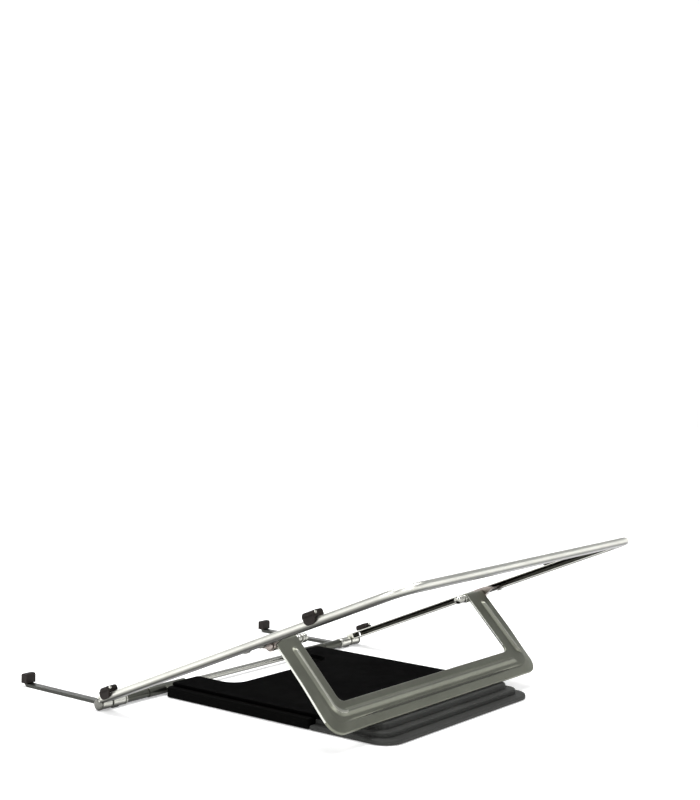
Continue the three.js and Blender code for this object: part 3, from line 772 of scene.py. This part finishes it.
def bail_stations():
    """(point on the inner edge, point on the outer edge, part, distance along it) round the U."""
    inner_turn = (ARM_INNER - INNER_RADIUS, LENGTH - FOOT_WIDTH - INNER_RADIUS)
    outer_turn = (ARM_OUTER - OUTER_RADIUS, LENGTH - OUTER_RADIUS)
    right = []
    for k in range(ARM_STEPS):
        t = k / ARM_STEPS
        inner, outer = (ARM_INNER, t * inner_turn[1]), (ARM_OUTER, t * outer_turn[1])
        right.append((inner, outer, "right", t * outer_turn[1]))
    for k in range(TURN_STEPS + 1):
        a = math.radians(90 * k / TURN_STEPS)
        inner = (inner_turn[0] + INNER_RADIUS * math.cos(a), inner_turn[1] + INNER_RADIUS * math.sin(a))
        outer = (outer_turn[0] + OUTER_RADIUS * math.cos(a), outer_turn[1] + OUTER_RADIUS * math.sin(a))
        right.append((inner, outer, "turn_right", k / TURN_STEPS))
    foot_bar = []
    for k in range(1, FOOT_STEPS):
        t = 1 - 2 * k / FOOT_STEPS
        inner, outer = (t * inner_turn[0], LENGTH - FOOT_WIDTH), (t * outer_turn[0], LENGTH)
        foot_bar.append((inner, outer, "foot", t * outer_turn[0]))
    left = [
        ((-inner[0], inner[1]), (-outer[0], outer[1]), part.replace("right", "left"), distance)
        for inner, outer, part, distance in reversed(right)
    ]
    return right + foot_bar + left


def ease(value):
    value = min(1.0, max(0.0, value))
    return value * value * (3 - 2 * value)


def bead(share, centre, width, strength):
    """Height of a bead with a cosine section at a share of the way across a plate of this width."""
    offset = abs(share - centre) / (BEAD_WIDTH / 2 / width)
    return strength * BEAD_HEIGHT * 0.5 * (1 + math.cos(math.pi * min(offset, 1.0)))


def bead_height(part, distance, share):
    """Height of the pressed bead, which runs down the right arm and along the foot bar.

    It stops at the left corner, and the left arm has a bead of its own.
    """
    start = ease((distance - BEAD_START) / BEAD_RISE)
    if part == "right":
        return bead(share, RIGHT_BEAD, ARM_WIDTH, start)
    if part == "turn_right":
        return bead(share, RIGHT_BEAD + (FOOT_BEAD - RIGHT_BEAD) * distance, TURN_WIDTH, 1.0)
    if part == "foot":
        return bead(share, FOOT_BEAD, FOOT_WIDTH, ease((distance + FOOT_BEAD_STOP) / FOOT_BEAD_RISE))
    if part == "left":
        return bead(share, LEFT_BEAD, ARM_WIDTH, start * ease((BEAD_STOP - distance) / BEAD_RISE))
    return 0.0


def lip_drop(part, distance, share):
    """The border of the foot bar leans back past a crease; the fold dies out up the arms."""
    past = (share - FOLD_AT) * FOOT_WIDTH
    depth = max(0.0, past) * LIP_SLOPE
    if part in ("right", "left"):
        return depth * ease((distance - LIP_START) / LIP_RISE)
    if part == "foot":
        crease = CREASE_DEPTH * max(0.0, 1 - abs(past) / (CREASE_WIDTH / 2))
        return depth + crease * ease((GROOVE_END - abs(distance)) / GROOVE_RISE)
    return depth


def surface_look(part, distance, share):
    """Material of the upper side: painted shade along the crease, a painted highlight on the bead's crest and
    a fainter one on its shoulders, or plain plate.
    """
    height = bead_height(part, distance, share) / BEAD_HEIGHT
    if part == "foot":
        taper = ease((CREASE_END - abs(distance)) / CREASE_TAPER)
        if abs(share - FOLD_AT) * FOOT_WIDTH < CREASE_WIDTH / 2.4 * taper:
            return CREASE_SHADE
        return SHOULDER_LIT if height > FOOT_SHOULDER_FROM else PLATE
    if height > CREST_FROM:
        return CREST_HIGHLIGHT
    return SHOULDER_LIT if height > SHOULDER_FROM else PLATE


def bail_plate():
    bm = bmesh.new()
    edge_band = EDGE_SHARES[-1]
    even = [0.05 + 0.9 * k / ACROSS_STEPS for k in range(ACROSS_STEPS + 1)]
    across = [*EDGE_SHARES, *even, *(1 - share for share in reversed(EDGE_SHARES))]
    rings, marks = [], []
    half = SHEET / 2
    level = BARREL - half
    for inner, outer, part, distance in bail_stations():
        upper, lower = [], []
        for share in across:
            x = inner[0] + share * (outer[0] - inner[0])
            y = inner[1] + share * (outer[1] - inner[1])
            middle = level + bead_height(part, distance, share) - lip_drop(part, distance, share)
            near_edge = min(share, 1 - share) / edge_band
            round_off = EDGE_ROUNDING * (1 - math.sqrt(1 - max(0.0, 1 - near_edge) ** 2))
            upper.append((x, y, middle + half - round_off))
            lower.append((x, y, middle - half + round_off))
        rings.append([bm.verts.new(p) for p in upper + lower[::-1]])
        marks.append((part, distance))
    upper_sides = len(across) - 1
    sides = 2 * len(across)
    cut_sides = {(end + offset) % sides for end in (upper_sides, sides - 1) for offset in (-1, 0, 1)}
    for ring, after, (part, distance) in zip(rings, rings[1:], marks):
        for k in range(sides):
            n = (k + 1) % sides
            face = bm.faces.new((ring[k], ring[n], after[n], after[k]))
            # The arms' cut edges take the painted highlight; the upper side takes painted shade or highlights
            # from surface_look.
            if k in cut_sides:
                face.material_index = EDGE_HIGHLIGHT if part in ("right", "left") else PLATE
            elif k < upper_sides:
                face.material_index = surface_look(part, distance, (across[k] + across[k + 1]) / 2)
    bm.faces.new(rings[0])
    bm.faces.new(rings[-1])
    barrels = []
    for sign in (1, -1):
        left, right = sorted((sign * ARM_INNER, sign * ARM_OUTER))
        barrels.append(tube(left, right, BARREL, FRICTION_BORE, chamfer=0.4))
    return merge(bm, *barrels)


plate_looks = (bail_metal, edge_highlight_metal, crease_shade_metal, shoulder_lit_metal, crest_highlight_metal)
piece("leg_plate", bail_plate(), BAIL_AT, "bail", ["bail"], "pressed_metal", *plate_looks, sharp=40)

# ---- front hooks ----

HOOK_RIGHT = RAIL_INNER - GAP - 1
HOOK_LEFT, EYE_LEFT = HOOK_RIGHT - 5, HOOK_RIGHT - 9
HOOK_REACH, HOOK_TIP = 74.0, 3.3
HOOK_SHEET, HOOK_DROP, HOOK_BEND = 1.8, 1.6, 2.2
SLEEVE_WALL = 1.1


def hook_strip():
    """An eye round the bar, a flat arm pointing forwards and an upturned tip."""
    level = -HOOK_DROP - HOOK_SHEET / 2
    tip_y = -HOOK_REACH + HOOK_SHEET / 2
    path = [Vector((1.2, level))] + [Vector((-k, level)) for k in range(4, 70, 6)]
    path += arc((tip_y + HOOK_BEND, level + HOOK_BEND), HOOK_BEND, 270, 180)
    path += [Vector((tip_y, HOOK_TIP))]
    outline = strip(path, HOOK_SHEET)
    arm = prism(outline, HOOK_LEFT, HOOK_RIGHT, top_rim=0.45, bottom_rim=0.45, segments=3, axis="X")
    eye = tube(EYE_LEFT, HOOK_RIGHT, EYE_RADIUS, BORE, chamfer=0.5)
    for face in eye.faces:
        face.material_index = 1
    return merge(arm, eye)


def tip_sleeve():
    rear = -HOOK_REACH + HOOK_SHEET + GAP + SLEEVE_WALL
    front = -HOOK_REACH - GAP - SLEEVE_WALL
    low, high = -HOOK_DROP + GAP, HOOK_TIP + SLEEVE_WALL
    outline = rounded([(rear, low, 0.3), (rear, high, 1.3), (front, high, 1.3), (front, low, 0.3)], step=12)
    return prism(outline, HOOK_LEFT - 1, HOOK_RIGHT + 1, top_rim=0.8, bottom_rim=0.8, axis="X")


hook_looks = (hook_metal, rim_metal)
pair("stop_hook", hook_strip(), HOOK_AT, "hook_{side}", ["front_hook_{side}"], "satin_aluminium", *hook_looks)
pair("tip_sleeve", tip_sleeve(), HOOK_AT, "hook_{side}", ["hook_sleeve_{side}"], "rubber", soft_rubber)

# ---- frame nodes that keep their own shape ----

for side in ("right", "left"):
    for node, look in (
        (f"pivot_bracket_{side}", warm_metal),
        (f"leaf_screw_inner_{side}", turned_metal),
        (f"leaf_screw_outer_{side}", turned_metal),
    ):
        frame["nodes"][node].material_slots[0].material = look

# ---- studio ----

FLOOR_RADIUS, WALL_CURVE, WALL_TOP = 2600.0, 700.0, 1500.0  # millimetres, as for the pieces
WALL_STEPS = 16
CAMERA_AT = Vector((0.6854, 0.6080 + HINGE.y, 0.2166))
CAMERA_AZIMUTH, CAMERA_PITCH, CAMERA_ROLL = 127.52, 2.82, 1.07  # degrees; the pitch points down
CAMERA_LENS = 66.95


def sweep():
    """A round pale floor that curves up into a low wall, so that no horizon shows."""
    material, shader = new_material("pale_floor", (0.9, 0.9, 0.895), metallic=0.0, roughness=0.7)
    shader.inputs["Specular IOR Level"].default_value = 0.1
    shader.inputs["Emission Color"].default_value = (1, 1, 1, 1)
    shader.inputs["Emission Strength"].default_value = 0.3
    profile = [(0.0, 0.0), (0.0, FLOOR_RADIUS)]
    for k in range(1, WALL_STEPS + 1):
        angle = math.pi / 2 * k / WALL_STEPS
        profile.append((WALL_CURVE * (1 - math.cos(angle)), FLOOR_RADIUS + WALL_CURVE * math.sin(angle)))
    profile.append((WALL_TOP, FLOOR_RADIUS + WALL_CURVE))
    floor = turned(profile, axis="Z", count=96)
    new_object("sweep", floor, Matrix.Scale(MM, 4), material)


def area_light(name, place, aim, size, power):
    data = bpy.data.lights.new(name, "AREA")
    data.shape = "RECTANGLE"
    data.size, data.size_y = size
    data.energy = power
    lamp = link(bpy.data.objects.new(name, data))
    lamp.location = place
    lamp.rotation_euler = (Vector(aim) - Vector(place)).to_track_quat("-Z", "Y").to_euler()


def camera():
    data = bpy.data.cameras.new("camera")
    data.sensor_width = 36
    data.lens = CAMERA_LENS
    data.clip_start, data.clip_end = 0.02, 40
    made = link(bpy.data.objects.new("camera", data))
    azimuth, pitch, roll = (math.radians(a) for a in (CAMERA_AZIMUTH, CAMERA_PITCH, CAMERA_ROLL))
    made.location = CAMERA_AT
    turn = Matrix.Rotation(azimuth, 4, "Z") @ Matrix.Rotation(math.pi / 2 - pitch, 4, "X")
    made.rotation_euler = (turn @ Matrix.Rotation(roll, 4, "Z")).to_euler()
    bpy.context.scene.camera = made


def surroundings():
    world = bpy.data.worlds.new("studio")
    world.use_nodes = True
    background = world.node_tree.nodes["Background"]
    background.inputs["Color"].default_value = (0.95, 0.96, 1.0, 1)
    background.inputs["Strength"].default_value = 0.3
    bpy.context.scene.world = world
    bpy.context.scene.view_settings.view_transform = "Standard"


sweep()
area_light("overhead", place=(-0.3, -0.2, 1.9), aim=(0, 0, 0), size=(1.6, 1.2), power=38)
area_light("side", place=(1.5, -0.5, 1.2), aim=(0, 0, 0.03), size=(0.9, 0.7), power=12)
area_light("behind_camera", place=(0.7, 1.5, 1.3), aim=(0, 0, 0.03), size=(0.9, 0.7), power=12)
camera()
surroundings()
